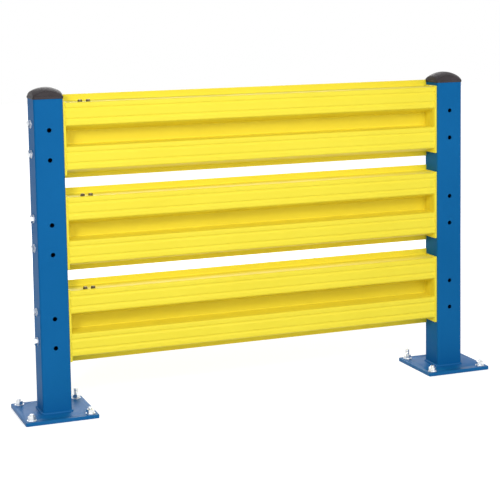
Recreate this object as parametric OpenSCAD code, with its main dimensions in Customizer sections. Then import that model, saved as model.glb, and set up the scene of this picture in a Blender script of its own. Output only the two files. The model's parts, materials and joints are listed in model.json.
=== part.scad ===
// Industrial guard rail: one bay of three ribbed steel rails between two
// square posts on base plates. Millimetres, +X along the rails, front at -Y,
// +Z up, origin on the floor midway between the posts.

/* [Bay] */
// Distance between the post centres
bay_pitch = 1524; // [900:1:3000]
// Distance of the top rail's centre below the post's top end
rail_top_drop = 137; // [125:1:160]
// Vertical distance between rail centres
rail_pitch = 323; // [300:1:340]

/* [Post] */
// Outside width of the square post tube
post_w = 101.6; // [90:0.1:120]
// Wall of the post tube
post_wall = 4.8; // [3:0.1:8]
// Outside corner radius of the post tube
post_corner_r = 8; // [5.5:0.5:12]
// Height of the tube's top end above the floor
post_top_z = 1092; // [950:1:1200]

/* [Base plate] */
// Side of the square base plate
plate_w = 254; // [200:1:320]
// Thickness of the base plate
plate_t = 12.7; // [8:0.1:20]
// Corner radius of the base plate
plate_corner_r = 6; // [1:0.5:20]
// Spacing of the anchor holes along each side of the plate
anchor_spacing = 203.2; // [160:0.1:230]
// Diameter of the anchor holes
anchor_hole_d = 20.6; // [12:0.1:24]
// Leg of the weld bead round the post foot
weld_leg = 6.5; // [3:0.1:9]

/* [Cap] */
// How far the cap reaches past the post on each side
cap_overhang = 2; // [0.5:0.1:5]
// Thickness of the cap's square rim
cap_rim_t = 8; // [3:0.1:12]
// Rise of the cap's dome above its rim
cap_dome_h = 30; // [15:0.5:40]
// Radius of the cap's dome
cap_dome_r = 100; // [80:0.5:140]
// Depth of the collar that holds the cap in the tube
cap_collar_h = 22; // [10:0.5:40]
// Wall of the cap's collar and dome
cap_wall = 3; // [2:0.1:5]
// Gap between the collar and the tube
cap_fit = 0.3; // [0.1:0.1:1]

/* [Rail] */
// Overall height of a rail
rail_h = 289; // [270:1:295]
// Front to back depth of a rail
rail_depth = 86; // [70:1:96]
// Thickness of the rail sheet
sheet_t = 3; // [2:0.1:4]
// Height of each rib's front face
rib_face_h = 79; // [70:0.5:84]
// Vertical distance between the two ribs
rib_pitch = 150; // [140:0.5:152]
// How far the ribs' middle lies above the rail's centre
rib_rise = 7.5; // [0:0.5:10]
// How far a rib's lower side drops towards the back
rib_drop = 22; // [20:0.5:24]
// Inside radius of the rail's bends
bend_r = 4; // [2:0.5:6]
// Depth of the grooves in the rib faces
groove_depth = 3; // [1:0.1:4]
// Width of a groove at the rib face
groove_w = 14; // [11:0.5:18]
// Width of a groove at its bottom
groove_floor_w = 4; // [2:0.5:6]
// Vertical distance between the two grooves of a rib
groove_spacing = 36; // [26:0.5:42]

/* [End plates and rail bolts] */
// Thickness of the plate on each rail end
end_plate_t = 8; // [5:0.1:14]
// Height of the plate on each rail end
end_plate_h = 252; // [240:1:268]
// Spacing of a hole pair, in the end plates and in the post
pair_spacing = 101.6; // [98:0.1:104]
// Diameter of the rail bolts
bolt_d = 15.9; // [12:0.1:16.5]
// Diameter of the bolt holes
bolt_hole_d = 17.5; // [17:0.1:20]
// Width of a rail bolt's head and nut across flats
bolt_flats = 24; // [20:0.5:25]
// Height of a rail bolt's head
bolt_head_h = 10; // [6:0.1:14]
// Height of a rail bolt's nut
bolt_nut_h = 13; // [8:0.1:18]
// How far a rail bolt stands out of its nut
bolt_tail = 7; // [2:0.5:20]
// Outside diameter of the rail bolts' washers
bolt_washer_d = 28; // [26:0.5:29]
// Thickness of the rail bolts' washers
bolt_washer_t = 3; // [1:0.1:5]

/* [Spare holes in the post faces] */
// Diameter of the spare holes in the front and back of the post
face_hole_d = 16; // [10:0.1:20]
// How far the spare holes lie below the rail bolts
face_hole_drop = 19; // [19:0.5:30]

/* [Rail stop bolts] */
// Distance of the near stop bolt from the post
stop_near_x = 64; // [50:1:74]
// Distance of the far stop bolt from the post
stop_far_x = 92; // [86:1:150]
// Diameter of the stop bolts
stop_d = 8; // [5:0.1:10]
// Diameter of the stop bolt holes
stop_hole_d = 8.8; // [8.6:0.1:11]
// Width of a stop bolt's head and nut across flats
stop_flats = 13; // [10:0.5:16]
// Height of a stop bolt's head
stop_head_h = 6; // [4:0.1:10]
// Height of a stop bolt's nut
stop_nut_h = 6.5; // [4:0.1:10]
// Distance of the stop bolts behind the rib face
stop_setback = 18; // [16:0.5:60]

/* [Hidden] */

$fn = 64;
rail_count = 3;                           // rails in the bay, one node set each
eps = 1;                                  // how far a cutter passes a face
post_x = bay_pitch / 2;                   // post centre from the middle
post_half = post_w / 2;
rail_gap = bay_pitch - post_w;            // clear distance between the posts
rail_len = rail_gap - 2 * end_plate_t;    // ribbed sheet between its end plates
front_y = -rail_depth / 2;                // outer face of the ribs
back_y = rail_depth / 2;                  // back face of the lips and the web
sheet_half = sheet_t / 2;
path_r = bend_r + sheet_half;             // bend radius on the sheet's middle line
groove_r = min(path_r / 2, groove_depth); // the shallow grooves bend tighter
lip_end_h = (rail_h - end_plate_h) / 2;   // height of a lip past the end plate
rib_top_1 = rib_rise + rib_pitch / 2 + rib_face_h / 2;
rib_top_2 = rib_top_1 - rib_pitch;
stop_y = front_y + stop_setback;
paint_blue = [0.02, 0.38, 0.70];
paint_yellow = [0.97, 0.85, 0.13];
zinc = [0.78, 0.79, 0.80];
cap_black = [0.10, 0.10, 0.11];

function rail_z(level) = post_top_z - rail_top_drop - (rail_count - 1 - level) * rail_pitch;
function unit(v) = v / norm(v);
function left_normal(v) = [-v[1], v[0]];

// A bend of radius r at point b between its neighbours a and c, as an arc
function bend(a, b, c, r, steps = 5) =
    let (
        u = unit(a - b),
        w = unit(c - b),
        half_angle = acos(max(-1, min(1, u * w))) / 2,
        run = r / tan(half_angle),
        centre = b + unit(u + w) * r / sin(half_angle),
        p = b + u * run - centre,
        q = b + w * run - centre,
        sweep = 180 - 2 * half_angle,
        turn = (p[0] * q[1] - p[1] * q[0]) < 0 ? -1 : 1
    )
    [for (i = [0:steps])
        let (t = turn * sweep * i / steps)
        centre + [p[0] * cos(t) - p[1] * sin(t), p[0] * sin(t) + p[1] * cos(t)]];

// Points of a path given as [y, z, radius] with its bends rounded
function rounded_path(pts) =
    let (n = len(pts), xy = [for (p = pts) [p[0], p[1]]])
    [for (i = [0:n - 1])
        each (i == 0 || i == n - 1
            ? [xy[i]]
            : bend(xy[i - 1], xy[i], xy[i + 1], pts[i][2]))];

// The same path moved sideways by d
function moved_path(path, d) =
    let (n = len(path))
    [for (i = [0:n - 1])
        let (
            before = i == 0 ? path[1] - path[0] : path[i] - path[i - 1],
            after = i == n - 1 ? path[i] - path[i - 1] : path[i + 1] - path[i],
            m = unit(left_normal(unit(before)) + left_normal(unit(after)))
        )
        path[i] + m * d / (m * left_normal(unit(before)))];

// Middle line of one groove in a rib face, from its top edge to its bottom edge
function groove_path(z) =
    let (y = front_y + sheet_half, w = groove_w / 2, f = groove_floor_w / 2)
    [[y, z + w, groove_r], [y + groove_depth, z + f, groove_r],
     [y + groove_depth, z - f, groove_r], [y, z - w, groove_r]];

// Middle line of one rib: level top side, grooved face, lower side that drops
function rib_path(top) =
    let (
        face_y = front_y + sheet_half,
        web_y = back_y - sheet_half,
        middle = top - rib_face_h / 2
    )
    concat(
        [[web_y, top - sheet_half, path_r], [face_y, top - sheet_half, path_r]],
        groove_path(middle + groove_spacing / 2),
        groove_path(middle - groove_spacing / 2),
        [[face_y, top - rib_face_h + sheet_half, path_r],
         [web_y, top - rib_face_h + sheet_half - rib_drop, path_r]]);

// Whole section of a rail: upper lip, two ribs with a web between, lower lip
function rail_path() =
    let (web_y = back_y - sheet_half)
    rounded_path(concat(
        [[web_y, rail_h / 2, 0]],
        rib_path(rib_top_1),
        rib_path(rib_top_2),
        [[web_y, -rail_h / 2, 0]]));

module rounded_square(w, r) {
    flat = w - 2 * r;
    square([w, flat], center = true);
    square([flat, w], center = true);
    for (sx = [-1, 1], sy = [-1, 1]) {
        translate([sx * flat / 2, sy * flat / 2]) circle(r);
    }
}

module along_x(x, y, z) {
    translate([x, y, z]) rotate([0, 90, 0]) children();
}

module hex_prism(flats, h) {
    cylinder(d = flats / cos(30), h = h, $fn = 6);
}

// ---- posts ----

module base_plate(side) {
    color(paint_blue)
    translate([side * post_x, 0, 0])
    difference() {
        linear_extrude(plate_t) rounded_square(plate_w, plate_corner_r);
        for (sx = [-1, 1], sy = [-1, 1]) {
            translate([sx * anchor_spacing / 2, sy * anchor_spacing / 2, -eps])
            cylinder(d = anchor_hole_d, h = plate_t + 2 * eps);
        }
    }
}

module post(side) {
    tube_h = post_top_z - plate_t;
    inner_w = post_w - 2 * post_wall;
    color(paint_blue)
    translate([side * post_x, 0, 0])
    difference() {
        translate([0, 0, plate_t]) linear_extrude(tube_h) rounded_square(post_w, post_corner_r);
        translate([0, 0, plate_t - eps])
        linear_extrude(tube_h + 2 * eps)
        rounded_square(inner_w, post_corner_r - post_wall);
        for (level = [0:rail_count - 1], sz = [-1, 1]) {
            // holes for the rail bolts, through both side walls
            along_x(-post_half - eps, 0, rail_z(level) + sz * pair_spacing / 2)
            cylinder(d = bolt_hole_d, h = post_w + 2 * eps);
            // spare holes, through the front and back walls
            translate([0, post_half + eps, rail_z(level) - face_hole_drop + sz * pair_spacing / 2])
            rotate([90, 0, 0])
            cylinder(d = face_hole_d, h = post_w + 2 * eps);
        }
    }
}

module foot_weld(side) {
    run = post_w - 2 * post_corner_r;
    color(paint_blue)
    translate([side * post_x, 0, plate_t]) {
        for (k = [0:3]) {
            rotate([0, 0, 90 * k]) {
                translate([-run / 2, -post_half, 0])
                rotate([90, 0, 90])
                linear_extrude(run)
                polygon([[0, 0], [-weld_leg, 0], [0, weld_leg]]);
                translate([run / 2, run / 2, 0])
                rotate_extrude(angle = 90)
                translate([post_corner_r, 0])
                polygon([[0, 0], [weld_leg, 0], [0, weld_leg]]);
            }
        }
    }
}

module post_cap(side) {
    rim_w = post_w + 2 * cap_overhang;
    collar_w = post_w - 2 * post_wall - 2 * cap_fit;
    collar_r = post_corner_r - post_wall;
    inner_w = collar_w - 2 * cap_wall;
    top = cap_rim_t + cap_dome_h;
    color(cap_black)
    translate([side * post_x, 0, post_top_z])
    difference() {
        union() {
            linear_extrude(cap_rim_t) rounded_square(rim_w, post_corner_r + cap_overhang);
            intersection() {
                linear_extrude(top) rounded_square(post_w, post_corner_r);
                translate([0, 0, top - cap_dome_r]) sphere(r = cap_dome_r, $fn = 96);
            }
            translate([0, 0, -cap_collar_h]) linear_extrude(cap_collar_h) rounded_square(collar_w, collar_r);
        }
        // hollow from below, up to the inside of the dome
        intersection() {
            translate([0, 0, -cap_collar_h - eps])
            linear_extrude(cap_collar_h + top)
            rounded_square(inner_w, collar_r / 2);
            translate([0, 0, top - cap_dome_r]) sphere(r = cap_dome_r - cap_wall, $fn = 96);
        }
    }
}

// ---- rails ----

module rail(level) {
    path = rail_path();
    section = concat(moved_path(path, sheet_half),
        [for (i = [len(path) - 1:-1:0]) moved_path(path, -sheet_half)[i]]);
    color(paint_yellow)
    translate([0, 0, rail_z(level)])
    difference() {
        union() {
            translate([-rail_len / 2, 0, 0]) rotate([90, 0, 90]) linear_extrude(rail_len) polygon(section);
            // both lips run on to the posts, above and below the end plates
            for (sx = [-1, 1], sz = [-1, 1]) {
                translate([sx * (rail_len + end_plate_t) / 2, back_y - sheet_half, sz * (rail_h - lip_end_h) / 2])
                cube([end_plate_t, sheet_t, lip_end_h], center = true);
            }
        }
        for (x = [stop_near_x, stop_far_x]) {
            translate([-rail_gap / 2 + x, stop_y, rib_top_1 - sheet_t - eps])
            cylinder(d = stop_hole_d, h = sheet_t + 2 * eps);
        }
    }
}

module end_plate(level, side) {
    color(paint_yellow)
    translate([side * (rail_gap - end_plate_t) / 2, 0, rail_z(level)])
    difference() {
        cube([end_plate_t, rail_depth, end_plate_h], center = true);
        for (sz = [-1, 1]) {
            along_x(-end_plate_t / 2 - eps, 0, sz * pair_spacing / 2)
            cylinder(d = bolt_hole_d, h = end_plate_t + 2 * eps);
        }
    }
}

// ---- bolts ----

// Bolt along +Z that clamps a stack of height grip whose face is at z = 0
module bolt_stack(grip, d, flats, head_h, nut_h, tail, washer_d, washer_t) {
    translate([0, 0, -washer_t]) cylinder(d = washer_d, h = washer_t);
    translate([0, 0, -washer_t - head_h]) hex_prism(flats, head_h);
    translate([0, 0, -washer_t]) cylinder(d = d, h = grip + 2 * washer_t + nut_h + tail);
    translate([0, 0, grip]) cylinder(d = washer_d, h = washer_t);
    translate([0, 0, grip + washer_t]) hex_prism(flats, nut_h);
}

module rail_bolts(level, side) {
    color(zinc)
    for (sz = [-1, 1]) {
        translate([side * (post_x + post_half), 0, rail_z(level) + sz * pair_spacing / 2])
        rotate([0, -side * 90, 0])
        bolt_stack(post_w + end_plate_t, bolt_d, bolt_flats, bolt_head_h,
            bolt_nut_h, bolt_tail, bolt_washer_d, bolt_washer_t);
    }
}

module stop_bolts(level) {
    color(zinc)
    for (x = [stop_near_x, stop_far_x]) {
        translate([-rail_gap / 2 + x, stop_y, rail_z(level) + rib_top_1])
        mirror([0, 0, 1])
        bolt_stack(sheet_t, stop_d, stop_flats, stop_head_h,
            stop_nut_h, stop_d / 4, stop_flats * 1.25, sheet_half);
    }
}

base_plate(-1);  // left_base_plate
base_plate(1);  // right_base_plate
post(-1);  // left_post
post(1);  // right_post
foot_weld(-1);  // left_foot_weld
foot_weld(1);  // right_foot_weld
post_cap(-1);  // left_post_cap
post_cap(1);  // right_post_cap
rail(0);  // bottom_rail
rail(1);  // middle_rail
rail(2);  // top_rail
end_plate(0, -1);  // bottom_rail_left_end_plate
end_plate(0, 1);  // bottom_rail_right_end_plate
end_plate(1, -1);  // middle_rail_left_end_plate
end_plate(1, 1);  // middle_rail_right_end_plate
end_plate(2, -1);  // top_rail_left_end_plate
end_plate(2, 1);  // top_rail_right_end_plate
rail_bolts(0, -1);  // bottom_rail_left_bolts
rail_bolts(0, 1);  // bottom_rail_right_bolts
rail_bolts(1, -1);  // middle_rail_left_bolts
rail_bolts(1, 1);  // middle_rail_right_bolts
rail_bolts(2, -1);  // top_rail_left_bolts
rail_bolts(2, 1);  // top_rail_right_bolts
stop_bolts(0);  // bottom_rail_stop_bolts
stop_bolts(1);  // middle_rail_stop_bolts
stop_bolts(2);  // top_rail_stop_bolts
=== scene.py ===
import json
import logging
import math
from collections.abc import Callable
from dataclasses import dataclass, field, fields
from enum import Enum

import bmesh
import bpy
from mathutils import Matrix, Vector
from mathutils.geometry import tessellate_polygon

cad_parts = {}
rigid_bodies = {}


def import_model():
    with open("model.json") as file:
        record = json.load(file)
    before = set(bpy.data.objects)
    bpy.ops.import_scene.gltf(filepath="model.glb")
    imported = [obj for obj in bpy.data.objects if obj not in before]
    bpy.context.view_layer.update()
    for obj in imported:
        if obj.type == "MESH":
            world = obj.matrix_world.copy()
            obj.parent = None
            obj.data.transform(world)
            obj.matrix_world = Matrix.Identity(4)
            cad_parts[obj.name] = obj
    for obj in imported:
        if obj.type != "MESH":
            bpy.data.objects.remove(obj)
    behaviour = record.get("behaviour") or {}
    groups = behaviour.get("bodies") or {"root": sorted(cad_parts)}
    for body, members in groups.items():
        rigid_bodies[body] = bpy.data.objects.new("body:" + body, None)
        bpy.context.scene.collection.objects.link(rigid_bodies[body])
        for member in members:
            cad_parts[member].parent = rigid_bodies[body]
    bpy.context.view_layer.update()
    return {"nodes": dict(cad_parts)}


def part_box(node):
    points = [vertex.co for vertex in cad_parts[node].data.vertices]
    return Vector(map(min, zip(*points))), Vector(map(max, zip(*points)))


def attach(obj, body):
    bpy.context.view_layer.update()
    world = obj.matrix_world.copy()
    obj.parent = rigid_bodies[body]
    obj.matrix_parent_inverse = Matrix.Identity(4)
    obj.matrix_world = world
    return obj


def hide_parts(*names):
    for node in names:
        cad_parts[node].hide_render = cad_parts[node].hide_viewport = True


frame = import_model()

MM = 0.001
BODY = "root"
log = logging.getLogger("guard_rail")

Loop = list[Vector]
Outline = Callable[[float], Loop]
Point = tuple[float, float, float]
Colour = tuple[float, float, float, float]
Inputs = dict[str | int, object]
Socket = bpy.types.NodeSocket
Material = bpy.types.Material
Mesh = bpy.types.Mesh
Piece = bpy.types.Object


class Place(Enum):
    """A place on the part that the CAD nodes are named by."""

    @property
    def word(self) -> str:
        """The place's name as the CAD nodes write it."""
        return self.name.lower()


class Side(Place):
    """The two posts, with their direction along X."""

    LEFT = -1
    RIGHT = 1


class Level(Place):
    """The three rails, from the floor up."""

    BOTTOM = 0
    MIDDLE = 1
    TOP = 2


class Slot(Enum):
    """The record's material slots."""

    YELLOW = "yellow_paint"
    BLUE = "blue_paint"
    ZINC = "zinc"
    PLASTIC = "black_plastic"


class Sharp(Enum):
    """Edges that turn more than this many degrees stay sharp."""

    PLATE = 30.0
    FASTENER = 32.0
    CAP = 38.0
    BEAD = 80.0


# -------- node trees


class Graph:
    """Adds nodes to one node tree and wires them up."""

    def __init__(self, tree: bpy.types.NodeTree) -> None:
        """Keeps the tree that the nodes go into."""
        self.tree = tree

    def feed(self, socket: Socket, value: object) -> None:
        """Links a socket into another, or sets a plain value on it.

        Args:
            socket: The input to feed.
            value: Another node's output, or a plain value.
        """
        if isinstance(value, Socket):
            self.tree.links.new(value, socket)
        else:
            socket.default_value = value

    def add(self, kind: str, inputs: Inputs | None = None, **settings: object) -> bpy.types.Node:
        """Adds a node.

        Args:
            kind: Blender's name for the node type.
            inputs: Values or sockets by input name or position.
            settings: Node properties.

        Returns:
            The new node.
        """
        node = self.tree.nodes.new(kind)
        for name, value in settings.items():
            setattr(node, name, value)
        for key, value in (inputs or {}).items():
            self.feed(node.inputs[key], value)
        return node

    def math(self, operation: str, first: object, second: object = 0.0) -> Socket:
        """Adds a Math node and returns its result."""
        return self.add("ShaderNodeMath", {0: first, 1: second}, operation=operation).outputs[0]

    def plus(self, first: object, second: object) -> Socket:
        """Adds two numbers."""
        return self.math("ADD", first, second)

    def minus(self, first: object, second: object) -> Socket:
        """Takes the second number from the first."""
        return self.math("SUBTRACT", first, second)

    def times(self, first: object, second: object) -> Socket:
        """Multiplies two numbers."""
        return self.math("MULTIPLY", first, second)

    def lift(self, height: object) -> Socket:
        """Returns the vector that points up by height."""
        return self.add("ShaderNodeCombineXYZ", {"Z": height}).outputs[0]


class GeometryTree(Graph):
    """A Geometry Nodes tree with named inputs, run on one mesh at a time."""

    def __init__(self, name: str, inputs: dict[str, str]) -> None:
        """Makes the tree.

        Args:
            name: The tree's name.
            inputs: The type of each input by its name, such as Float or Vector.
        """
        super().__init__(bpy.data.node_groups.new(name, "GeometryNodeTree"))
        face = self.tree.interface
        face.new_socket(name="Geometry", in_out="INPUT", socket_type="NodeSocketGeometry")
        face.new_socket(name="Geometry", in_out="OUTPUT", socket_type="NodeSocketGeometry")
        self.ids: dict[str, str] = {}
        for label, kind in {**inputs, "Finish": "Material"}.items():
            socket = face.new_socket(name=label, in_out="INPUT", socket_type="NodeSocket" + kind)
            self.ids[label] = socket.identifier
        self.given = self.add("NodeGroupInput").outputs

    def make(self, kind: str, inputs: Inputs | None = None, **settings: object) -> Socket:
        """Adds one of the Geometry Nodes and returns its first output."""
        return self.add("GeometryNode" + kind, inputs, **settings).outputs[0]

    def finish(self, geometry: Socket) -> None:
        """Ends the tree in Realize Instances and Set Material.

        Args:
            geometry: What the tree has made.
        """
        real = self.make("RealizeInstances", {"Geometry": geometry})
        painted = self.make("SetMaterial", {"Geometry": real, "Material": self.given["Finish"]})
        self.add("NodeGroupOutput", {0: painted})

    def run(self, name: str, source: Mesh, values: dict[str, object], sharp: Sharp) -> Piece:
        """Runs the tree on a mesh and keeps the result as a plain mesh.

        Args:
            name: The name of the new piece.
            source: The mesh that the tree works on.
            values: The value of each named input.
            sharp: Which edges stay sharp.

        Returns:
            The new piece, with no modifier left on it.
        """
        piece = bpy.data.objects.new(name, source)
        bpy.context.scene.collection.objects.link(piece)
        modifier = piece.modifiers.new("Nodes", "NODES")
        modifier.node_group = self.tree
        for label, value in values.items():
            modifier[self.ids[label]] = value
        graph = bpy.context.evaluated_depsgraph_get()
        made = bpy.data.meshes.new_from_object(piece.evaluated_get(graph))
        piece.modifiers.remove(modifier)
        piece.data = made
        made.name = name
        smooth(made, sharp)
        return piece


def smooth(mesh: Mesh, sharp: Sharp) -> None:
    """Shades a mesh smooth, with its sharper edges kept."""
    mesh.shade_smooth()
    mesh.set_sharp_from_angle(angle=math.radians(sharp.value))


# -------- finishes


class FinishGraph(Graph):
    """The node tree of one finish, with its patterns on Object coordinates."""

    def __init__(self, name: str) -> None:
        """Makes the material.

        Args:
            name: The material's name.
        """
        self.material = bpy.data.materials.new(name)
        self.material.use_nodes = True
        super().__init__(self.material.node_tree)
        self.shader = self.tree.nodes["Principled BSDF"]
        self.place = self.add("ShaderNodeTexCoord").outputs["Object"]

    def set_value(self, socket: str, value: float | Colour) -> None:
        """Sets one of the shader's own sockets."""
        self.shader.inputs[socket].default_value = value

    def noise(self, scale: float, detail: float) -> Socket:
        """Adds a noise pattern and returns its height."""
        inputs = {"Vector": self.place, "Scale": scale, "Detail": detail}
        return self.add("ShaderNodeTexNoise", inputs).outputs[0]

    def tint(self, tone: Socket, *stops: tuple[float, Colour]) -> None:
        """Runs the base colour between two stops.

        Args:
            tone: The pattern that picks the colour.
            stops: Each stop's place on the pattern and its colour.
        """
        ramp = self.add("ShaderNodeValToRGB", {0: tone})
        for element, (position, colour) in zip(ramp.color_ramp.elements, stops):
            element.position = position
            element.color = colour
        self.feed(self.shader.inputs["Base Color"], ramp.outputs[0])

    def roughen(self, pattern: Socket, low: float, high: float) -> None:
        """Runs the roughness from low to high as a pattern runs from 0 to 1."""
        spread = self.add("ShaderNodeMapRange", {0: pattern, 3: low, 4: high})
        self.feed(self.shader.inputs["Roughness"], spread.outputs[0])

    def emboss(self, pattern: Socket, depth: float, strength: float) -> None:
        """Raises the surface by a pattern."""
        inputs = {"Height": pattern, "Distance": depth, "Strength": strength}
        self.feed(self.shader.inputs["Normal"], self.add("ShaderNodeBump", inputs).outputs[0])


@dataclass(frozen=True)
class PowderCoat:
    """Baked powder paint: an even colour with the fine ripple of orange peel."""

    name: str
    colour: Colour
    deep: Colour
    roughness: float
    specular: float
    deep_until: float = 0.32
    full_from: float = 0.68
    drift_scale: float = 3.1
    speck_scale: float = 420.0
    speck_share: float = 0.25
    rub_scale: float = 14.0
    rub_smoother: float = 0.05
    rub_rougher: float = 0.07
    peel_size: float = 2.6 * MM
    peel_depth: float = 0.030 * MM

    def material(self) -> Material:
        """Makes the paint.

        Returns:
            The paint as a node material.
        """
        graph = FinishGraph(self.name)
        drift = graph.noise(self.drift_scale, detail=3.0)
        speck = graph.noise(self.speck_scale, detail=2.0)
        tone = graph.plus(
            graph.times(drift, 1 - self.speck_share), graph.times(speck, self.speck_share))
        graph.tint(tone, (self.deep_until, self.deep), (self.full_from, self.colour))
        rub = graph.noise(self.rub_scale, detail=5.0)
        graph.roughen(rub, self.roughness - self.rub_smoother, self.roughness + self.rub_rougher)
        graph.set_value("Specular IOR Level", self.specular)
        peel = graph.noise(1 / self.peel_size, detail=1.5)
        graph.emboss(peel, self.peel_depth, strength=1.0)
        return graph.material


@dataclass(frozen=True)
class ZincPlate:
    """Zinc plating: metal with a faint cloudy tint and a fine grain."""

    name: str
    pale: Colour = (0.86, 0.87, 0.88, 1)
    cloud: Colour = (0.66, 0.69, 0.72, 1)
    roughness: float = 0.30
    cloud_until: float = 0.35
    pale_from: float = 0.65
    mist_scale: float = 110.0
    mist_smoother: float = 0.08
    mist_rougher: float = 0.10
    grain_scale: float = 2600.0
    grain_depth: float = 0.02 * MM
    grain_strength: float = 0.6

    def material(self) -> Material:
        """Makes the plating.

        Returns:
            The plating as a node material.
        """
        graph = FinishGraph(self.name)
        mist = graph.noise(self.mist_scale, detail=4.0)
        graph.tint(mist, (self.cloud_until, self.cloud), (self.pale_from, self.pale))
        graph.set_value("Metallic", 1.0)
        graph.roughen(
            mist, self.roughness - self.mist_smoother, self.roughness + self.mist_rougher)
        grain = graph.noise(self.grain_scale, detail=2.0)
        graph.emboss(grain, self.grain_depth, self.grain_strength)
        return graph.material


@dataclass(frozen=True)
class MouldedPlastic:
    """Black moulded plastic with a fine spark-eroded grain."""

    name: str
    colour: Colour = (0.034, 0.028, 0.030, 1)
    worn: Colour = (0.052, 0.044, 0.048, 1)
    roughness: float = 0.50
    specular: float = 0.16
    black_until: float = 0.40
    worn_from: float = 0.75
    haze_scale: float = 24.0
    grain_scale: float = 1500.0
    grain_depth: float = 0.03 * MM
    grain_strength: float = 0.8

    def material(self) -> Material:
        """Makes the plastic.

        Returns:
            The plastic as a node material.
        """
        graph = FinishGraph(self.name)
        haze = graph.noise(self.haze_scale, detail=4.0)
        graph.tint(haze, (self.black_until, self.colour), (self.worn_from, self.worn))
        graph.set_value("Roughness", self.roughness)
        graph.set_value("Specular IOR Level", self.specular)
        grain = graph.noise(self.grain_scale, detail=1.0)
        graph.emboss(grain, self.grain_depth, self.grain_strength)
        return graph.material


YELLOW = (0.89, 0.76, 0.056, 1)
DEEP_YELLOW = (0.86, 0.72, 0.047, 1)
BLUE = (0.006, 0.129, 0.357, 1)
DEEP_BLUE = (0.004, 0.114, 0.322, 1)
# Dark plating for the stop bolts, made darker still as painted shade of the rails' top sides next
# to the post
DARK_METAL_AND_SHADE = (0.20, 0.16, 0.09, 1)
DARKER_METAL_AND_SHADE = (0.10, 0.08, 0.05, 1)


@dataclass(frozen=True)
class Finishes:
    """Every finish of the object, made once and shared."""

    yellow: Material
    blue: Material
    plate_blue: Material
    zinc: Material
    dark_zinc: Material
    plastic: Material

    @classmethod
    def mix(cls) -> "Finishes":
        """Makes the finishes.

        Returns:
            All of them, by name.
        """
        yellow = PowderCoat("safety_yellow", YELLOW, DEEP_YELLOW, roughness=0.42, specular=0.16)
        blue = PowderCoat("post_blue", BLUE, DEEP_BLUE, roughness=0.46, specular=0.04)
        plate_blue = PowderCoat("plate_blue", BLUE, DEEP_BLUE, roughness=0.40, specular=0.13)
        # The stop bolts' dark plating is partly real plating and partly painted shade of the top
        # side beside the post
        dark_zinc = ZincPlate("dark_zinc", DARK_METAL_AND_SHADE, DARKER_METAL_AND_SHADE, roughness=0.5)
        return cls(
            yellow=yellow.material(),
            blue=blue.material(),
            plate_blue=plate_blue.material(),
            zinc=ZincPlate("bright_zinc").material(),
            dark_zinc=dark_zinc.material(),
            plastic=MouldedPlastic("cap_plastic").material(),
        )


# -------- shapes


def rounded_square(half: float, radius: float, per_corner: int = 8, per_side: int = 6) -> Loop:
    """Points round a square with rounded corners, counter-clockwise in the XY plane.

    Args:
        half: Half the square's width.
        radius: Radius of its corners.
        per_corner: Steps round each corner.
        per_side: Steps along each straight side.

    Returns:
        The loop, with the same number of points for any size.
    """
    flat = half - radius
    loop: Loop = []
    for quarter in range(4):
        turn = Matrix.Rotation(quarter * math.pi / 2, 3, "Z")
        for step in range(per_corner + 1):
            a = step / per_corner * math.pi / 2
            arc = Vector((flat + radius * math.cos(a), flat + radius * math.sin(a), 0))
            loop.append(turn @ arc)
        for step in range(1, per_side):
            loop.append(turn @ Vector((flat - 2 * flat * step / per_side, half, 0)))
    return loop


def rounded_bar(half_x: float, half_y: float, radius: float, per_corner: int = 4) -> Loop:
    """Points round a rectangle with rounded corners, counter-clockwise in the XY plane.

    Args:
        half_x: Half its width along X.
        half_y: Half its width along Y.
        radius: Radius of its corners.
        per_corner: Steps round each corner.

    Returns:
        The loop.
    """
    loop: Loop = []
    for quarter, (sx, sy) in enumerate(((1, 1), (-1, 1), (-1, -1), (1, -1))):
        centre = Vector((sx * (half_x - radius), sy * (half_y - radius), 0))
        for step in range(per_corner + 1):
            a = (quarter + step / per_corner) * math.pi / 2
            loop.append(centre + Vector((radius * math.cos(a), radius * math.sin(a), 0)))
    return loop


def circle(centre: Vector, radius: float, steps: int = 40) -> Loop:
    """Points round a circle, clockwise in the XY plane, as a hole's edge runs.

    Args:
        centre: The circle's centre.
        radius: Its radius.
        steps: How many points it has.

    Returns:
        The loop.
    """
    return [
        centre + Vector((radius * math.cos(a), -radius * math.sin(a), 0))
        for a in (2 * math.pi * k / steps for k in range(steps))
    ]


def raised(loop: Loop, height: float) -> Loop:
    """Moves a loop up."""
    return [p + Vector((0, 0, height)) for p in loop]


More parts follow.
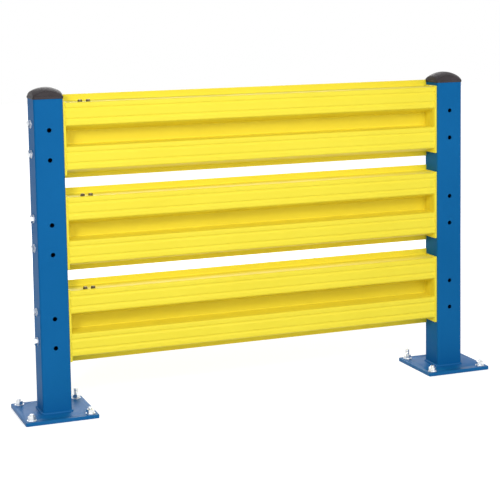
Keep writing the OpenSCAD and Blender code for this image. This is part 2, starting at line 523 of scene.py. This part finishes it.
@dataclass
class Draft:
    """Vertices and faces that grow into one closed mesh."""

    points: Loop = field(default_factory=list)
    faces: list[tuple[int, ...]] = field(default_factory=list)
    merge: float = 1e-7

    def ring(self, loop: Loop) -> list[int]:
        """Adds a loop of points.

        Args:
            loop: The points to add.

        Returns:
            Their numbers.
        """
        start = len(self.points)
        self.points.extend(loop)
        return list(range(start, start + len(loop)))

    def wall(self, lower: list[int], upper: list[int]) -> None:
        """Joins two rings of as many points by a band of faces.

        Args:
            lower: The numbers of the first ring.
            upper: The numbers of the second ring.
        """
        for k in range(len(lower)):
            nxt = (k + 1) % len(lower)
            self.faces.append((lower[k], lower[nxt], upper[nxt], upper[k]))

    def fan(self, ring: list[int], tip: Vector, flip: bool) -> None:
        """Closes a ring with triangles to a tip.

        Args:
            ring: The ring's numbers.
            tip: The point that the triangles share.
            flip: True to turn the triangles over.
        """
        (top,) = self.ring([tip])
        for k in range(len(ring)):
            pair = (ring[k], ring[(k + 1) % len(ring)])
            self.faces.append((*(pair[::-1] if flip else pair), top))

    def lid(self, rings: list[list[int]], flip: bool) -> None:
        """Closes flat rings, the first round the others, with triangles.

        Args:
            rings: The numbers of each ring.
            flip: True for a lid that faces down.
        """
        flat = [[self.points[k] for k in ring] for ring in rings]
        numbers = [k for ring in rings for k in ring]
        for triangle in tessellate_polygon(flat):
            corners = tuple(numbers[k] for k in triangle)
            a, b, c = (self.points[k] for k in corners)
            if ((b - a).cross(c - a).z < 0) != flip:
                corners = corners[::-1]
            self.faces.append(corners)

    def piece(self, name: str, place: Matrix, material: Material, sharp: Sharp) -> Piece:
        """Makes the piece.

        Args:
            name: The name of the piece.
            place: Where the drawn shape goes in the object's frame.
            material: Its finish.
            sharp: Which edges stay sharp.

        Returns:
            The piece, with its place in its mesh.
        """
        mesh = bpy.data.meshes.new(name)
        mesh.from_pydata([place @ p for p in self.points], [], self.faces)
        solid = bmesh.new()
        solid.from_mesh(mesh)
        bmesh.ops.remove_doubles(solid, verts=solid.verts, dist=self.merge)
        bmesh.ops.recalc_face_normals(solid, faces=solid.faces)
        solid.to_mesh(mesh)
        solid.free()
        mesh.materials.append(material)
        smooth(mesh, sharp)
        made = bpy.data.objects.new(name, mesh)
        bpy.context.scene.collection.objects.link(made)
        return made


def drilled_plate(thickness: float, chamfer: float, outline: Outline, holes: list[Outline],
                  middle: float = 0.3) -> Draft:
    """Draws a plate with softened edges, its underside at Z = 0.

    Args:
        thickness: The plate's thickness.
        chamfer: How far each edge is cut back.
        outline: Gives the outer edge, cut back by a distance.
        holes: Give each hole's edge, opened up by a distance.
        middle: Where an edge's middle step lies, as a share of the cut.

    Returns:
        The drawn plate.
    """
    draft = Draft()
    ends: tuple[list[list[int]], list[list[int]]] = ([], [])
    levels = ((0.0, chamfer), (chamfer * middle, chamfer * middle), (chamfer, 0.0))
    steps = [*levels, *((thickness - z, cut) for z, cut in reversed(levels))]
    for edge in (outline, *holes):
        rings = [draft.ring(raised(edge(cut), z)) for z, cut in steps]
        for lower, upper in zip(rings, rings[1:]):
            draft.wall(lower, upper)
        ends[0].append(rings[0])
        ends[1].append(rings[-1])
    draft.lid(ends[0], flip=True)
    draft.lid(ends[1], flip=False)
    return draft


def path_mesh(name: str, points: Loop, closed: bool) -> Mesh:
    """Makes a mesh without faces, for a tree to work on.

    Args:
        name: The mesh's name.
        points: Its points.
        closed: True to join the points by one closed ring of edges.

    Returns:
        The mesh.
    """
    count = len(points)
    mesh = bpy.data.meshes.new(name)
    mesh.from_pydata(points, [(k, (k + 1) % count) for k in range(count)] if closed else [], [])
    return mesh


def settle(piece: Piece, slot: Slot, *nodes: str) -> None:
    """Rides a piece on the part's body and names the nodes that it stands for.

    Args:
        piece: The finished piece.
        slot: The record's slot that its finish comes from; not used.
        nodes: The CAD nodes that it replaces.
    """
    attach(piece, BODY)
    if nodes:
        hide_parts(*nodes)
    stands = f", for {', '.join(nodes)}" if nodes else ""
    log.info("%s: %d faces%s", piece.name, len(piece.data.polygons), stands)


def dress(node: str, material: Material) -> None:
    """Gives a CAD node its finish.

    Args:
        node: The node's name.
        material: Its finish.
    """
    part = frame["nodes"][node]
    part.data.materials.clear()
    part.data.materials.append(material)
    log.info("%s: dressed in %s", node, material.name)


# -------- repeated parts


@dataclass(frozen=True)
class Sizes:
    """Sizes that a tree takes as named inputs, in metres."""

    @classmethod
    def labels(cls) -> dict[str, str]:
        """Returns the name of each size by the name of its input."""
        return {size.name.replace("_", " ").title(): size.name for size in fields(cls)}

    def inputs(self) -> dict[str, object]:
        """Returns the value of each input."""
        return {label: getattr(self, name) for label, name in self.labels().items()}


@dataclass(frozen=True)
class Fastener(Sizes):
    """The sizes of one kind of bolt or stud."""

    diameter: float
    grip: float
    flats: float
    head_height: float
    nut_height: float
    tail: float
    washer_diameter: float
    washer_thickness: float
    thread_pitch: float


@dataclass(frozen=True)
class Bead(Sizes):
    """The sizes of one weld bead."""

    radius: float
    ripple_length: float
    ripple_height: float
    step: float


class FastenerTree(GeometryTree):
    """Sets a hex bolt with washers and a nut, or a threaded stud with a nut, on every point."""

    HEX_SIDES = 6
    SHANK_SIDES = 32
    WASHER_SIDES = 48
    CONE_SIDES = 64
    THREAD_STEPS = 20
    HEX_END = 0.83
    SHANK_END = 0.72
    WASHER_END = 0.97
    HEX_SLOPE = 1.732
    THREAD_DEPTH = 0.45
    SPARE = 0.2 * MM

    def __init__(self, name: str, headed: bool) -> None:
        """Makes the tree.

        Args:
            name: The tree's name.
            headed: True for a bolt, False for a stud with one washer and nut.
        """
        sizes = dict.fromkeys(Fastener.labels(), "Float")
        super().__init__(name, {**sizes, "Axis": "Vector", "Seed": "Int"})
        given = self.given
        thick, pitch = given["Washer Thickness"], given["Thread Pitch"]
        over = self.plus(given["Grip"], thick)
        end = self.plus(self.plus(over, given["Nut Height"]), given["Tail"])
        under = self.times(thick, -1.0 if headed else 0.0)
        length = self.minus(end, under)
        root = self.times(pitch, self.THREAD_DEPTH)
        core = self.minus(self.times(given["Diameter"], 0.5), root)
        washer = self.times(given["Washer Diameter"], 0.5)
        corner = self.times(given["Flats"], 0.5 / math.cos(math.pi / 6))
        parts = [
            self._turned(self.WASHER_SIDES, washer, thick, given["Grip"], self.WASHER_END),
            self._turned(self.HEX_SIDES, corner, given["Nut Height"], over, self.HEX_END),
            self._turned(self.SHANK_SIDES, core, length, under, self.SHANK_END),
            self._thread(core, pitch, self.minus(end, given["Tail"]), given["Tail"]),
        ]
        if headed:
            head = self.times(self.plus(thick, given["Head Height"]), -1.0)
            parts += [
                self._turned(self.WASHER_SIDES, washer, thick, under, self.WASHER_END, down=True),
                self._turned(
                    self.HEX_SIDES, corner, given["Head Height"], head, self.HEX_END, down=True),
            ]
        joined = self.add("GeometryNodeJoinGeometry")
        for part in reversed(parts):
            self.tree.links.new(part, joined.inputs[0])
        self.finish(self.make("InstanceOnPoints", {
            "Points": given["Geometry"], "Instance": joined.outputs[0], "Rotation": self._aim()}))

    def _aim(self) -> Socket:
        """Aims a fastener along the axis, rolled by chance.

        Returns:
            The rotation of each fastener.
        """
        given = self.given
        aim = self.add("FunctionNodeAlignRotationToVector", {"Vector": given["Axis"]}, axis="Z")
        roll = self.add("FunctionNodeRandomValue", {"Seed": given["Seed"]}, data_type="FLOAT")
        roll.inputs[3].default_value = math.pi / 3
        spin = self.add("FunctionNodeAxisAngleToRotation", {
            "Axis": (0, 0, 1), "Angle": roll.outputs[1]})
        return self.add("FunctionNodeRotateRotation", {
            "Rotation": aim.outputs[0], "Rotate By": spin.outputs[0]},
            rotation_space="LOCAL").outputs[0]

    def _turned(self, corners: int, radius: Socket, height: Socket, base: Socket, end: float,
                down: bool = False) -> Socket:
        """Makes a prism whose outer end is turned back by a cone.

        Args:
            corners: How many corners the prism has.
            radius: The radius to its corners.
            height: Its height.
            base: Where its lower face lies along Z.
            end: The end face's radius, as a share of the corner radius.
            down: True if the turned end faces down.

        Returns:
            The prism.
        """
        slope = self.HEX_SLOPE if corners == self.HEX_SIDES else 1.0
        prism = self.make("MeshCylinder", {
            "Vertices": corners, "Radius": radius, "Depth": height})
        tip = self.times(radius, end)
        deep = self.plus(height, 2 * self.SPARE)
        cone = self.make("MeshCone", {
            "Vertices": self.CONE_SIDES,
            "Radius Top": self.minus(tip, self.SPARE * slope),
            "Radius Bottom": self.plus(tip, self.times(self.plus(height, self.SPARE), slope)),
            "Depth": deep,
        })
        sunk = self.make("Transform", {
            "Geometry": cone, "Translation": self.lift(self.times(deep, -0.5))})
        cut = self.add("GeometryNodeMeshBoolean", operation="INTERSECT", solver="EXACT")
        self.tree.links.new(prism, cut.inputs["Mesh 2"])
        self.tree.links.new(sunk, cut.inputs["Mesh 2"])
        middle = self.plus(base, self.times(height, 0.5))
        return self.make("Transform", {
            "Geometry": cut.outputs[0], "Translation": self.lift(middle),
            "Rotation": (math.pi if down else 0.0, 0.0, 0.0)})

    def _thread(self, core: Socket, pitch: Socket, base: Socket, length: Socket) -> Socket:
        """Makes the thread that shows past the nut, as a helix with a diamond section.

        Args:
            core: The radius of the thread's root.
            pitch: The distance from turn to turn.
            base: Where the thread starts along Z.
            length: How far it runs.

        Returns:
            The thread.
        """
        run = self.minus(length, self.times(pitch, 0.5))
        helix = self.make("CurveSpiral", {
            "Resolution": self.THREAD_STEPS, "Rotations": self.math("DIVIDE", run, pitch),
            "Start Radius": core, "End Radius": core, "Height": run})
        section = self.make("CurvePrimitiveCircle", {
            "Resolution": 4, "Radius": self.times(pitch, self.THREAD_DEPTH)})
        ridge = self.make("CurveToMesh", {
            "Curve": helix, "Profile Curve": section, "Fill Caps": True})
        return self.make("Transform", {"Geometry": ridge, "Translation": self.lift(base)})


class BeadTree(GeometryTree):
    """Runs a rippled weld bead along every edge path it is given."""

    SECTION_CORNERS = 14
    WANDER_SCALE = 90.0
    WANDER_SHARE = 1.2
    SWELL_MIDDLE = 1.1

    def __init__(self) -> None:
        """Makes the tree."""
        super().__init__("Weld Bead", {**dict.fromkeys(Bead.labels(), "Float"), "Seed": "Int"})
        given = self.given
        path = self.make("MeshToCurve", {"Mesh": given["Geometry"]})
        path = self.make("ResampleCurve", {"Curve": path, "Length": given["Step"]}, mode="LENGTH")
        kept = self.add("GeometryNodeCaptureAttribute", {"Geometry": path}, domain="POINT")
        kept.capture_items.new("FLOAT", "Run")
        self.feed(kept.inputs["Run"], self.add("GeometryNodeSplineParameter").outputs["Length"])
        section = self.make("CurvePrimitiveCircle", {
            "Resolution": self.SECTION_CORNERS, "Radius": given["Radius"]})
        tube = self.make("CurveToMesh", {
            "Curve": kept.outputs[0], "Profile Curve": section, "Fill Caps": True})
        beat = self.math("DIVIDE", kept.outputs["Run"], given["Ripple Length"])
        scallop = self.math("ABSOLUTE", self.math("SINE", self.times(beat, math.pi)))
        wander = self.add("ShaderNodeTexNoise", {
            "Vector": self.make("InputPosition"), "W": given["Seed"],
            "Scale": self.WANDER_SCALE, "Detail": 1.0}, noise_dimensions="4D").outputs[0]
        swell = self.minus(
            self.plus(scallop, self.times(wander, self.WANDER_SHARE)), self.SWELL_MIDDLE)
        push = self.add("ShaderNodeVectorMath", {
            0: self.make("InputNormal"),
            "Scale": self.times(swell, given["Ripple Height"])}, operation="SCALE").outputs[0]
        self.finish(self.make("SetPosition", {"Geometry": tube, "Offset": push}))


@dataclass(frozen=True)
class Kit:
    """The finishes and the trees that every sub-assembly draws on."""

    finishes: Finishes
    bolts: FastenerTree
    studs: FastenerTree
    beads: BeadTree

    @classmethod
    def gather(cls) -> "Kit":
        """Makes the finishes and the trees."""
        bolts, studs = FastenerTree("Bolt Row", headed=True), FastenerTree("Stud Row", headed=False)
        return cls(Finishes.mix(), bolts, studs, BeadTree())

    def fasten(self, name: str, points: Loop, kind: Fastener, axis: Point, seed: int,
               finish: Material, headed: bool = True) -> Piece:
        """Sets a fastener on each point.

        Args:
            name: The name of the new piece.
            points: Where each fastener's grip starts.
            kind: The fastener's sizes.
            axis: The direction from its head to its nut.
            seed: Picks how far each one is turned.
            finish: The plating.
            headed: True for bolts, False for studs.

        Returns:
            The fasteners, as one piece.
        """
        tree = self.bolts if headed else self.studs
        values = {**kind.inputs(), "Axis": axis, "Seed": seed, "Finish": finish}
        return tree.run(name, path_mesh(name, points, closed=False), values, Sharp.FASTENER)

    def weld(self, name: str, path: Mesh, kind: Bead, seed: int, finish: Material) -> Piece:
        """Runs a weld bead along a path.

        Args:
            name: The name of the new piece.
            path: The path, as a mesh of edges.
            kind: The bead's sizes.
            seed: Picks how the bead wanders.
            finish: The paint.

        Returns:
            The bead.
        """
        values = {**kind.inputs(), "Seed": seed, "Finish": finish}
        return self.beads.run(name, path, values, Sharp.BEAD)


# -------- sub-assemblies


@dataclass(frozen=True)
class CapMoulding:
    """A post cap, drawn with Z = 0 under its rim: a collar, a square rim and a domed top."""

    wide: float
    rise: float
    corner: float
    collar: float = 22.0 * MM
    collar_inset: float = 5.1 * MM
    collar_corner: float = 3.2 * MM
    rim: float = 8.0 * MM
    rim_chamfer: float = 0.5 * MM
    rim_round: float = 0.8 * MM
    rim_round_middle: float = 0.25 * MM
    radius: float = 100.0 * MM
    step: float = 2.0 * MM
    seat: float = 0.2 * MM
    fillet: float = 1.6 * MM
    fillet_steps: int = 4
    dome_shares: tuple[float, ...] = (0.97, 0.93, 0.87, 0.78, 0.68, 0.57, 0.46, 0.35, 0.24, 0.13)

    def dome(self, p: Vector) -> float:
        """Returns the dome's height over the rim's underside."""
        return self.rise - self.radius + math.sqrt(max(self.radius ** 2 - p.x ** 2 - p.y ** 2, 0))

    def level(self, cut: float, height: float) -> Loop:
        """Returns a level ring of the rim, cut back by a distance."""
        edge = rounded_square(self.wide - cut, self.corner + self.step - cut)
        return raised(edge, height)

    def arched(self, cut: float, drop: float) -> Loop:
        """Draws a ring that follows the dome's edge.

        Args:
            cut: How far it is cut back.
            drop: How far it lies below the dome.

        Returns:
            The ring.
        """
        inner = self.wide - self.step
        edge = rounded_square(inner, self.corner)
        back = rounded_square(inner - cut, self.corner - cut)
        low = self.rim + self.seat
        return [Vector((b.x, b.y, max(self.dome(e) - drop, low))) for b, e in zip(back, edge)]

    def draft(self) -> Draft:
        """Draws the cap.

        Returns:
            The drawn cap.
        """
        inner = self.wide - self.step
        tube = rounded_square(inner - self.collar_inset, self.collar_corner)
        rings = [
            raised(tube, -self.collar),
            raised(tube, 0.0),
            self.level(self.rim_chamfer, 0.0),
            self.level(0.0, self.rim_chamfer),
            self.level(0.0, self.rim - self.rim_round),
            self.level(self.rim_round_middle, self.rim - self.rim_round_middle),
            self.level(self.rim_round, self.rim),
            raised(rounded_square(inner, self.corner), self.rim),
        ]
        for turn in range(self.fillet_steps + 1):
            a = turn / self.fillet_steps * math.pi / 2
            rings.append(
                self.arched(self.fillet * (1 - math.cos(a)), self.fillet * (1 - math.sin(a))))
        edge = rounded_square(inner - self.fillet, self.corner - self.fillet)
        for share in self.dome_shares:
            rings.append([Vector((p.x, p.y, self.dome(p))) for p in (q * share for q in edge)])
        draft = Draft()
        numbers = [draft.ring(ring) for ring in rings]
        for lower, upper in zip(numbers, numbers[1:]):
            draft.wall(lower, upper)
        draft.fan(numbers[-1], Vector((0, 0, self.rise)), flip=False)
        draft.fan(numbers[0], Vector((0, 0, -self.collar)), flip=True)
        return draft


@dataclass
class PostAssembly:
    """One post with its base plate, foot weld, cap and floor anchors."""

    side: Side
    kit: Kit
    plate_edge: float = 0.9 * MM
    plate_corner: float = 6.0 * MM
    anchor_spacing: float = 203.2 * MM
    anchor_hole: float = 20.6 * MM
    anchor_tail: float = 6.0 * MM
    long_anchor_tail: float = 22.0 * MM
    anchor_seed: int = 11
    post_corner: float = 8.0 * MM
    weld: Bead = Bead(
        radius=5.4 * MM, ripple_length=3.6 * MM, ripple_height=0.55 * MM, step=0.8 * MM)
    weld_lift: float = 0.3 * MM
    weld_seed: int = 3

    def node(self, name: str) -> str:
        """Returns the name of one of this post's CAD nodes."""
        return f"{self.side.word}_{name}"

    def build(self) -> None:
        """Builds and dresses everything on this post."""
        dress(self.node("post"), self.kit.finishes.blue)
        self.base_plate()
        self.foot_weld()
        self.cap()
        self.anchors()

    def base_plate(self) -> None:
        """Makes the base plate with softened edges and holes."""
        name = self.node("base_plate")
        low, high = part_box(name)
        half = (high.x - low.x) / 2
        spots = [Vector((sx, sy, 0)) * self.anchor_spacing / 2 for sx in (-1, 1) for sy in (-1, 1)]
        draft = drilled_plate(
            high.z - low.z, self.plate_edge,
            lambda cut: rounded_square(half - cut, self.plate_corner - cut, per_side=1),
            [lambda cut, spot=spot: circle(spot, self.anchor_hole / 2 + cut) for spot in spots],
        )
        place = Matrix.Translation(((low.x + high.x) / 2, (low.y + high.y) / 2, low.z))
        finish = self.kit.finishes.plate_blue
        settle(draft.piece(name + "_finished", place, finish, Sharp.PLATE), Slot.BLUE, name)

    def foot_weld(self) -> None:
        """Makes the rippled weld round the post's foot."""
        name = self.node("foot_weld")
        low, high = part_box(self.node("post"))
        centre = (low + high) / 2
        half = (high.x - low.x) / 2
        lift = self.weld_lift
        foot = Vector((centre.x, centre.y, low.z + lift))
        edge = rounded_square(half + lift, self.post_corner + lift, per_corner=12, per_side=2)
        path = path_mesh(name, [p + foot for p in edge], closed=True)
        seed = self.weld_seed + self.side.value
        finish = self.kit.finishes.plate_blue
        settle(self.kit.weld(name + "_bead", path, self.weld, seed, finish), Slot.BLUE, name)

    def cap(self) -> None:
        """Makes the moulded cap."""
        name = self.node("post_cap")
        low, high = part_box(name)
        base = low.z + CapMoulding.collar
        shape = CapMoulding((high.x - low.x) / 2, high.z - base, self.post_corner)
        place = Matrix.Translation(((low.x + high.x) / 2, (low.y + high.y) / 2, base))
        finish = self.kit.finishes.plastic
        piece = shape.draft().piece(name + "_moulding", place, finish, Sharp.CAP)
        settle(piece, Slot.PLASTIC, name)

    def anchors(self) -> None:
        """Makes the four floor anchors: studs with washers and nuts, one stud left long."""
        low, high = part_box(self.node("base_plate"))
        centre = (low + high) / 2
        reach = self.anchor_spacing / 2
        long_x = -self.side.value
        for label, tall in (("anchors", False), ("long_anchor", True)):
            points = [
                Vector((centre.x + sx * reach, centre.y + sy * reach, low.z))
                for sx in (-1, 1) for sy in (-1, 1)
                if (sx == long_x and sy == 1) == tall
            ]
            stud = Fastener(
                diameter=15.9 * MM, grip=high.z - low.z, flats=23.8 * MM, head_height=0.0,
                nut_height=13.9 * MM, tail=self.long_anchor_tail if tall else self.anchor_tail,
                washer_diameter=33.3 * MM, washer_thickness=2.4 * MM, thread_pitch=2.3 * MM)
            piece = self.kit.fasten(
                self.node(label), points, stud, (0.0, 0.0, 1.0), self.anchor_seed,
                self.kit.finishes.zinc, headed=False)
            settle(piece, Slot.ZINC)


@dataclass
class RailAssembly:
    """One rail with its end plates, their welds and its bolts."""

    level: Level
    kit: Kit
    plate_edge: float = 0.6 * MM
    plate_corner: float = 1.5 * MM
    hole: float = 17.5 * MM
    pair_spacing: float = 101.6 * MM
    weld: Bead = Bead(
        radius=2.6 * MM, ripple_length=2.8 * MM, ripple_height=0.3 * MM, step=1.4 * MM)
    weld_seed: int = 7
    bolt: Fastener = Fastener(
        diameter=15.9 * MM, grip=109.6 * MM, flats=24.0 * MM, head_height=10.0 * MM,
        nut_height=13.0 * MM, tail=7.0 * MM, washer_diameter=28.0 * MM,
        washer_thickness=3.0 * MM, thread_pitch=2.3 * MM)
    bolt_seed: int = 20
    stop: Fastener = Fastener(
        diameter=8.0 * MM, grip=3.0 * MM, flats=13.0 * MM, head_height=6.0 * MM,
        nut_height=6.5 * MM, tail=2.0 * MM, washer_diameter=16.25 * MM,
        washer_thickness=1.5 * MM, thread_pitch=1.25 * MM)
    stop_seed: int = 40
    # How near points merge, how near an edge is to the plate, and a corner's least turn
    merge: float = 1e-6
    flush: float = 1e-5
    fold: float = 1.0

    def node(self, name: str) -> str:
        """Returns the name of one of this rail's CAD nodes."""
        return f"{self.level.word}_rail{name}"

    def build(self) -> None:
        """Builds and dresses everything on this rail."""
        dress(self.node(""), self.kit.finishes.yellow)
        for side in Side:
            self.end_plate(side)
            self.end_weld(side)
            self.end_bolts(side)
        self.stop_bolts()

    def end_plate(self, side: Side) -> None:
        """Makes the plate on one rail end.

        Args:
            side: The rail's end.
        """
        name = self.node(f"_{side.word}_end_plate")
        low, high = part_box(name)
        centre = (low + high) / 2
        half_y, half_z = (high.y - low.y) / 2, (high.z - low.z) / 2
        spots = [Vector((0, sz * self.pair_spacing / 2, 0)) for sz in (-1, 1)]
        draft = drilled_plate(
            high.x - low.x, self.plate_edge,
            lambda cut: rounded_bar(half_y - cut, half_z - cut, self.plate_corner - cut),
            [lambda cut, spot=spot: circle(spot, self.hole / 2 + cut) for spot in spots],
        )
        axes = Matrix(((0, 0, 1, low.x), (1, 0, 0, centre.y), (0, 1, 0, centre.z), (0, 0, 0, 1)))
        finish = self.kit.finishes.yellow
        settle(draft.piece(name + "_finished", axes, finish, Sharp.PLATE), Slot.YELLOW, name)

    def end_weld(self, side: Side) -> None:
        """Makes the bead that joins the ribbed sheet to its end plate.

        Args:
            side: The rail's end.
        """
        name = self.node(f"_{side.word}_end_weld")
        plate_low, plate_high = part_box(self.node(f"_{side.word}_end_plate"))
        end = plate_low.x if side is Side.RIGHT else plate_high.x
        sheet = bmesh.new()
        sheet.from_mesh(frame["nodes"][self.node("")].data)
        bmesh.ops.remove_doubles(sheet, verts=sheet.verts, dist=self.merge)
        edges = [
            edge for edge in sheet.edges
            if all(abs(v.co.x - end) < self.flush for v in edge.verts)
            and all(plate_low.z < v.co.z < plate_high.z for v in edge.verts)
            and len(edge.link_faces) == 2 and edge.calc_face_angle(0) > self.fold
        ]
        found = dict.fromkeys(v for edge in edges for v in edge.verts)
        numbers = {v: k for k, v in enumerate(found)}
        path = bpy.data.meshes.new(name)
        pairs = [tuple(numbers[v] for v in edge.verts) for edge in edges]
        path.from_pydata([v.co.copy() for v in numbers], pairs, [])
        sheet.free()
        seed = self.weld_seed + self.level.value
        settle(self.kit.weld(name, path, self.weld, seed, self.kit.finishes.yellow), Slot.YELLOW)

    def end_bolts(self, side: Side) -> None:
        """Makes the two bolts that hold one rail end, heads outside the post.

        Args:
            side: The rail's end.
        """
        name = self.node(f"_{side.word}_bolts")
        low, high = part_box(name)
        centre = (low + high) / 2
        proud = self.bolt.head_height + self.bolt.washer_thickness
        face = high.x - proud if side is Side.RIGHT else low.x + proud
        reach = self.pair_spacing / 2
        points = [Vector((face, centre.y, centre.z + sz * reach)) for sz in (-1, 1)]
        axis = (float(-side.value), 0.0, 0.0)
        seed = self.bolt_seed + 2 * self.level.value + (side is Side.RIGHT)
        finish = self.kit.finishes.zinc
        piece = self.kit.fasten(name + "_set", points, self.bolt, axis, seed, finish)
        settle(piece, Slot.ZINC, name)

    def stop_bolts(self) -> None:
        """Makes the two small bolts in the rail's top side."""
        name = self.node("_stop_bolts")
        low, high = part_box(name)
        centre = (low + high) / 2
        top = high.z - self.stop.head_height - self.stop.washer_thickness
        inset = self.stop.washer_diameter / 2
        points = [Vector((x, centre.y, top)) for x in (low.x + inset, high.x - inset)]
        seed = self.stop_seed + self.level.value
        # Their dark finish is partly plating and partly painted shade on the top side near the post
        finish = self.kit.finishes.dark_zinc
        piece = self.kit.fasten(name + "_set", points, self.stop, (0.0, 0.0, -1.0), seed, finish)
        settle(piece, Slot.ZINC, name)


# -------- studio


@dataclass(frozen=True)
class Lamp:
    """A square area lamp, aimed at the middle of the part."""

    name: str
    place: Point
    size: float
    watts: float
    in_gloss: bool = True
    target: Point = (0.0, 0.0, 0.60)

    def hang(self) -> None:
        """Puts the lamp in the scene."""
        data = bpy.data.lights.new(self.name, "AREA")
        data.size = self.size
        data.energy = self.watts
        aim = Vector(self.target) - Vector(self.place)
        lamp = bpy.data.objects.new(self.name, data)
        lamp.location = self.place
        lamp.visible_glossy = self.in_gloss
        lamp.rotation_mode = "QUATERNION"
        lamp.rotation_quaternion = aim.to_track_quat("-Z", "Y")
        bpy.context.scene.collection.objects.link(lamp)


@dataclass
class Studio:
    """White floor, lamps, world and camera."""

    floor_half: float = 14.0
    floor_white: float = 0.80
    floor_rough: float = 0.9
    floor_glow: float = 0.52
    glow_grows_from: float = 1.2
    glow_full_at: float = 3.6
    fill: float = 0.326
    lamps: tuple[Lamp, ...] = (
        Lamp("key", (-2.6, -3.0, 2.4), size=0.7, watts=51.0),
        Lamp("front_soft", (0.3, -3.4, 2.6), size=2.6, watts=81.0),
        Lamp("back_soft", (0.8, 3.4, 2.6), size=2.4, watts=62.0),
        Lamp("back_low", (0.0, 3.6, 0.9), size=2.4, watts=38.0, in_gloss=False),
    )
    camera_place: Point = (-1.839, -4.705, 1.435)
    camera_yaw: float = 21.12
    camera_pitch: float = -6.33
    camera_roll: float = -0.87
    camera_lens: float = 101.95
    camera_sensor: float = 36.0
    camera_shift: float = -0.2
    camera_reach: float = 100.0

    def build(self) -> None:
        """Builds the studio."""
        bpy.context.scene.view_settings.view_transform = "Standard"
        self.floor()
        self.world()
        self.camera()
        for lamp in self.lamps:
            lamp.hang()

    def floor(self) -> None:
        """Lays the white floor, which keeps the object's shadow."""
        size = self.floor_half
        corners = [(-size, -size, 0), (size, -size, 0), (size, size, 0), (-size, size, 0)]
        mesh = bpy.data.meshes.new("floor")
        mesh.from_pydata(corners, [], [(0, 1, 2, 3)])
        graph = FinishGraph("white_floor")
        white = self.floor_white
        graph.set_value("Base Color", (white, white, white, 1))
        graph.set_value("Roughness", self.floor_rough)
        graph.set_value("Specular IOR Level", 0.0)
        graph.set_value("Emission Color", (1, 1, 1, 1))
        reach = graph.add("ShaderNodeVectorMath", {0: graph.place}, operation="LENGTH")
        glow = graph.add("ShaderNodeMapRange", {
            0: reach.outputs["Value"], 1: self.glow_grows_from, 2: self.glow_full_at,
            3: self.floor_glow, 4: 1.0}).outputs[0]
        strength = graph.times(self.seen(graph), glow)
        graph.feed(graph.shader.inputs["Emission Strength"], strength)
        mesh.materials.append(graph.material)
        floor = bpy.data.objects.new("floor", mesh)
        bpy.context.scene.collection.objects.link(floor)

    def seen(self, graph: Graph) -> Socket:
        """Finds what the camera, gloss and glass see.

        Args:
            graph: The tree that needs it.

        Returns:
            1 for camera, glossy and transmission rays, 0 for the others.
        """
        path = graph.add("ShaderNodeLightPath").outputs
        both = graph.math("MAXIMUM", path["Is Camera Ray"], path["Is Glossy Ray"])
        return graph.math("MAXIMUM", both, path["Is Transmission Ray"])

    def world(self) -> None:
        """Makes the white surroundings, which light the object softly."""
        world = bpy.data.worlds.new("studio")
        world.use_nodes = True
        graph = Graph(world.node_tree)
        background = world.node_tree.nodes["Background"]
        background.inputs["Color"].default_value = (1, 1, 1, 1)
        spread = graph.add("ShaderNodeMapRange", {0: self.seen(graph), 3: self.fill, 4: 1.0})
        graph.feed(background.inputs["Strength"], spread.outputs[0])
        bpy.context.scene.world = world

    def camera(self) -> None:
        """Places the camera."""
        angles = (self.camera_yaw, self.camera_pitch, self.camera_roll)
        yaw, pitch, roll = (math.radians(a) for a in angles)
        flat = math.cos(pitch)
        ahead = Vector((math.sin(yaw) * flat, math.cos(yaw) * flat, math.sin(pitch)))
        level = Vector((math.cos(yaw), -math.sin(yaw), 0))
        rise = level.cross(ahead)
        right = level * math.cos(roll) + rise * math.sin(roll)
        up = rise * math.cos(roll) - level * math.sin(roll)
        data = bpy.data.cameras.new("camera")
        data.lens = self.camera_lens
        data.sensor_width = self.camera_sensor
        data.shift_y = self.camera_shift
        data.clip_end = self.camera_reach
        turn = Matrix((right, up, -ahead)).transposed().to_4x4()
        camera = bpy.data.objects.new("camera", data)
        camera.matrix_world = Matrix.Translation(self.camera_place) @ turn
        bpy.context.scene.collection.objects.link(camera)
        bpy.context.scene.camera = camera


def main() -> None:
    """Builds the posts, the rails and the studio, in that order."""
    logging.basicConfig(level=logging.INFO, format="%(name)s: %(message)s")
    kit = Kit.gather()
    for side in Side:
        PostAssembly(side, kit).build()
    for level in Level:
        RailAssembly(level, kit).build()
    Studio().build()


if __name__ == "__main__":
    main()
